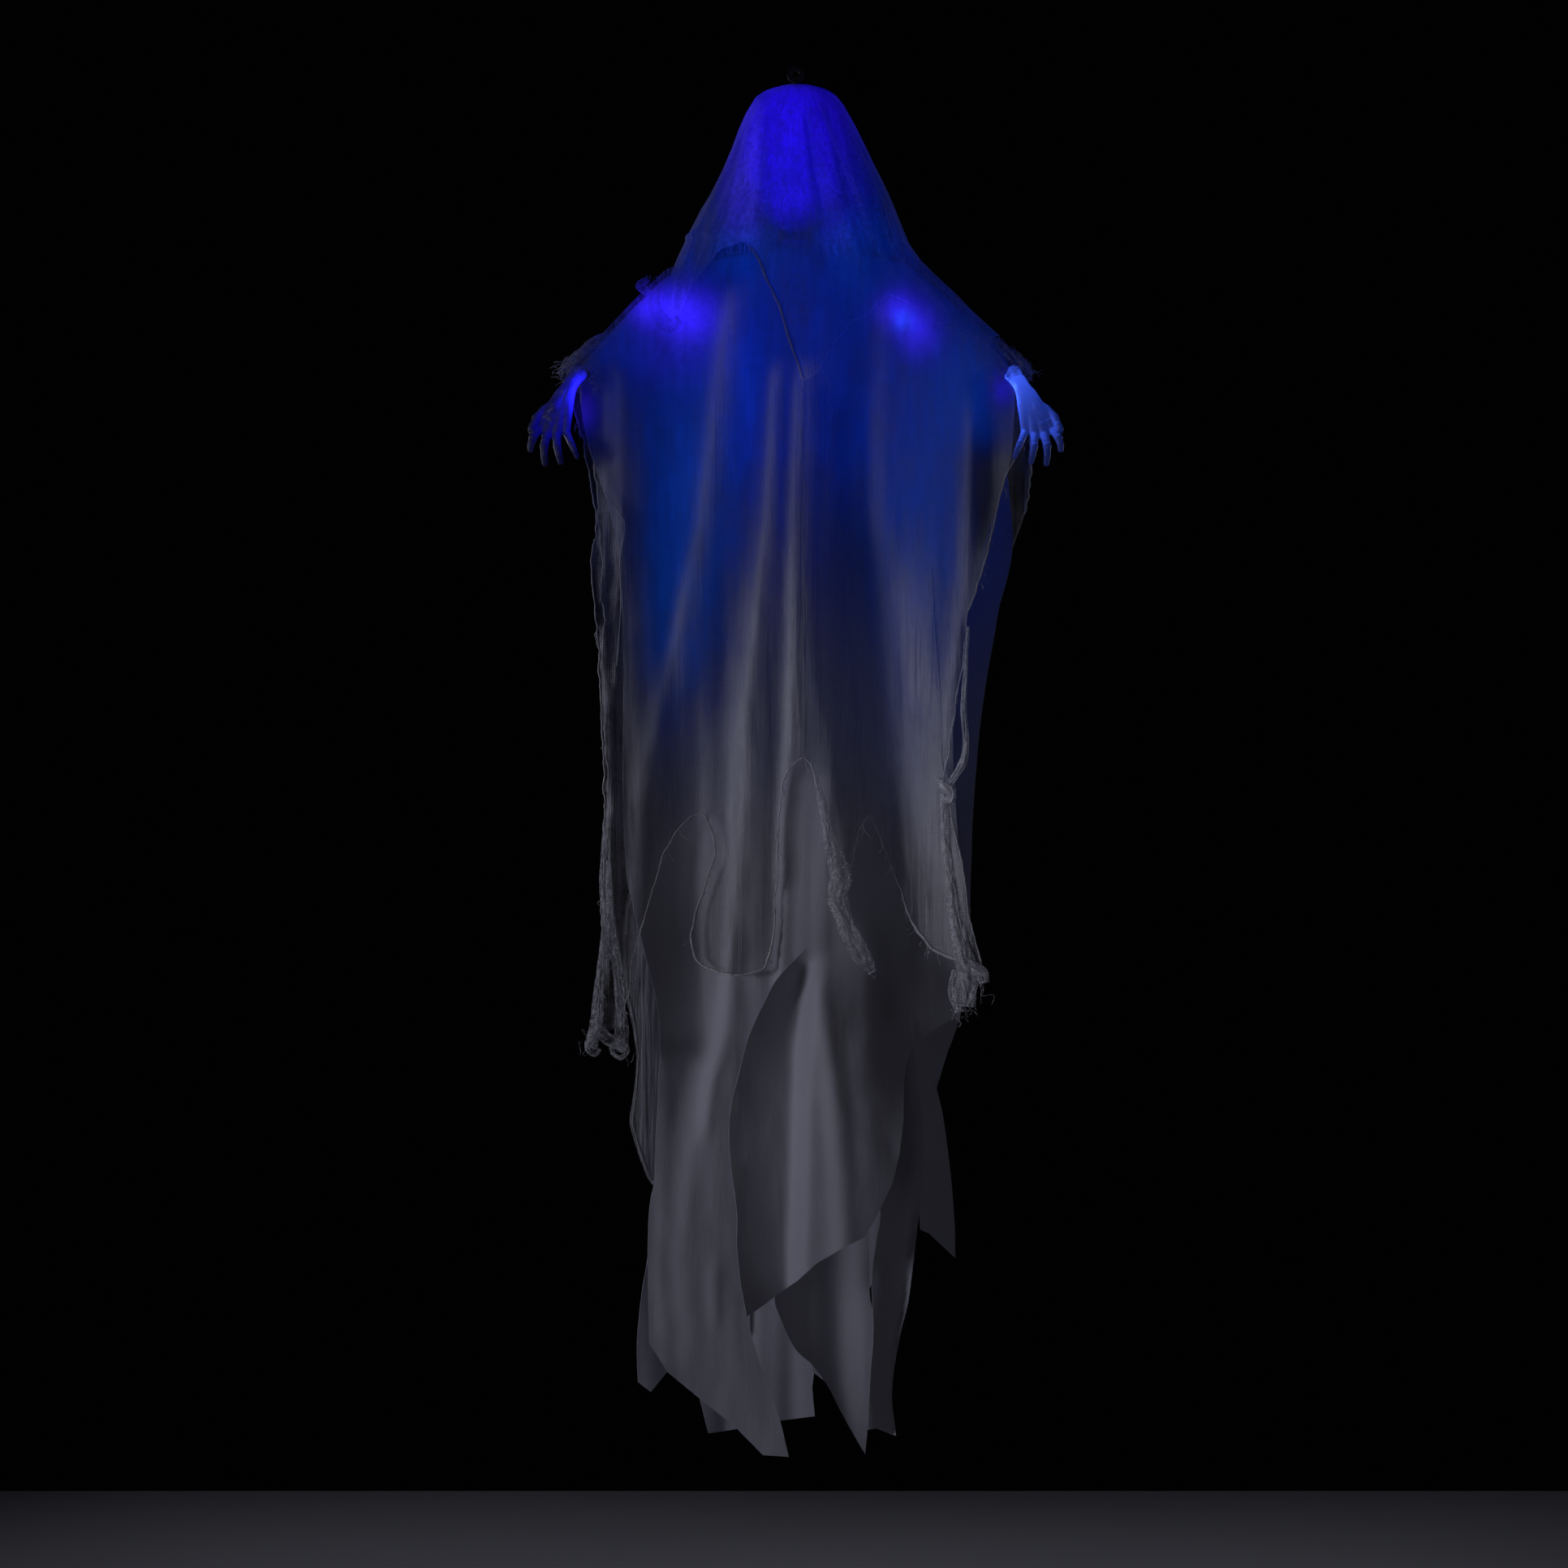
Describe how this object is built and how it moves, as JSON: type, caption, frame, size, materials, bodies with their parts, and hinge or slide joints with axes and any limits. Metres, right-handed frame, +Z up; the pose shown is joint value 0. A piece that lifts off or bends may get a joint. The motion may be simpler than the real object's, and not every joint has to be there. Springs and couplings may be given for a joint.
{
  "type": "hanging ghost decoration",
  "caption": "Faceless hanging ghost in a gauze veil and cloak over a long pointed gown, with folding arms, twisting hands and blue battery lamps in its head, shoulders and wrists.",
  "frame": {"origin": "centre of the hanging eye's hole above the head", "axes": "+Z up, the figure faces -Y, +X to the right in the picture"},
  "size_m": [0.6938, 0.3183, 1.85],
  "materials": {
    "steel": "zinc plated",
    "head_shell": "milky, lit from inside",
    "board": "solder resist",
    "lamp_lens": "clear blue",
    "white_plastic": "moulded",
    "black_plastic": "fine grain",
    "cell_jacket": "shrink film",
    "wire": "soft insulation",
    "hand_vinyl": "soft moulded skin",
    "gown_cloth": "smooth light weave",
    "gauze": "open sheer weave"
  },
  "bodies": {
    "frame": {"hanger_eye": "steel", "hanger_nut": "steel", "head_front_shell": "head_shell", "head_rear_shell": "head_shell", "head_screws": "steel", "head_lamp_board": "board", "head_leds": "lamp_lens", "neck_post": "white_plastic", "post_cap": "black_plastic", "neck_collar": "black_plastic", "shoulder_yoke": "black_plastic", "yoke_screw": "steel", "pivot_bolts": "steel", "pivot_nuts": "steel", "lamp_housings": "black_plastic", "lamp_lenses": "lamp_lens", "battery_box": "black_plastic", "battery_cells": "cell_jacket", "battery_springs": "steel", "battery_contacts": "steel", "control_board": "board", "switch_body": "black_plastic", "wiring": "wire", "left_service_loop": "wire", "right_service_loop": "wire", "gown_front_left": "gown_cloth", "gown_front_right": "gown_cloth", "gown_front_inner": "gown_cloth", "gown_right": "gown_cloth", "gown_right_rear": "gown_cloth", "gown_left": "gown_cloth", "gown_rear_left": "gown_cloth", "gown_rear_middle": "gown_cloth", "gown_rear_right": "gown_cloth", "cloak_front_left": "gauze", "cloak_front_right": "gauze", "cloak_back_left": "gauze", "cloak_back_right": "gauze", "veil": "gauze"},
    "left_arm": {"left_arm_lug": "black_plastic", "left_arm_tube": "white_plastic", "left_wrist_cuff": "black_plastic", "left_wrist_lamp": "black_plastic", "left_wrist_led": "lamp_lens", "left_arm_wire": "wire", "left_sleeve": "gauze"},
    "right_arm": {"right_arm_lug": "black_plastic", "right_arm_tube": "white_plastic", "right_wrist_cuff": "black_plastic", "right_wrist_lamp": "black_plastic", "right_wrist_led": "lamp_lens", "right_arm_wire": "wire", "right_sleeve": "gauze"},
    "left_hand": {"left_wrist_pin": "white_plastic", "left_hand": "hand_vinyl"},
    "right_hand": {"right_wrist_pin": "white_plastic", "right_hand": "hand_vinyl"},
    "battery_door": {"battery_door": "black_plastic"},
    "switch_knob": {"switch_knob": "white_plastic"}
  },
  "joints": [
    {"name": "left_shoulder", "type": "hinge", "parent": "frame", "child": "left_arm", "pos_m": [-0.128, 0, -0.285], "axis": [0, 0, 1], "range_deg": [-25, 25], "deforming": ["left_service_loop"]},
    {"name": "left_wrist_twist", "type": "hinge", "parent": "left_arm", "child": "left_hand", "pos_m": [-0.27, -0.12, -0.398], "axis": [-0.6128, -0.5179, -0.5968], "range_deg": [-40, 40]},
    {"name": "right_shoulder", "type": "hinge", "parent": "frame", "child": "right_arm", "pos_m": [0.128, 0, -0.285], "axis": [0, 0, -1], "range_deg": [-25, 25], "deforming": ["right_service_loop"]},
    {"name": "right_wrist_twist", "type": "hinge", "parent": "right_arm", "child": "right_hand", "pos_m": [0.27, -0.12, -0.398], "axis": [0.6128, -0.5179, -0.5968], "range_deg": [-40, 40]},
    {"name": "battery_door_slide", "type": "slide", "parent": "frame", "child": "battery_door", "axis": [0, 0, 1], "range_m": [0, 0.045]},
    {"name": "switch_slide", "type": "slide", "parent": "frame", "child": "switch_knob", "axis": [0, 1, 0], "range_m": [0, 0.004]}
  ]
}
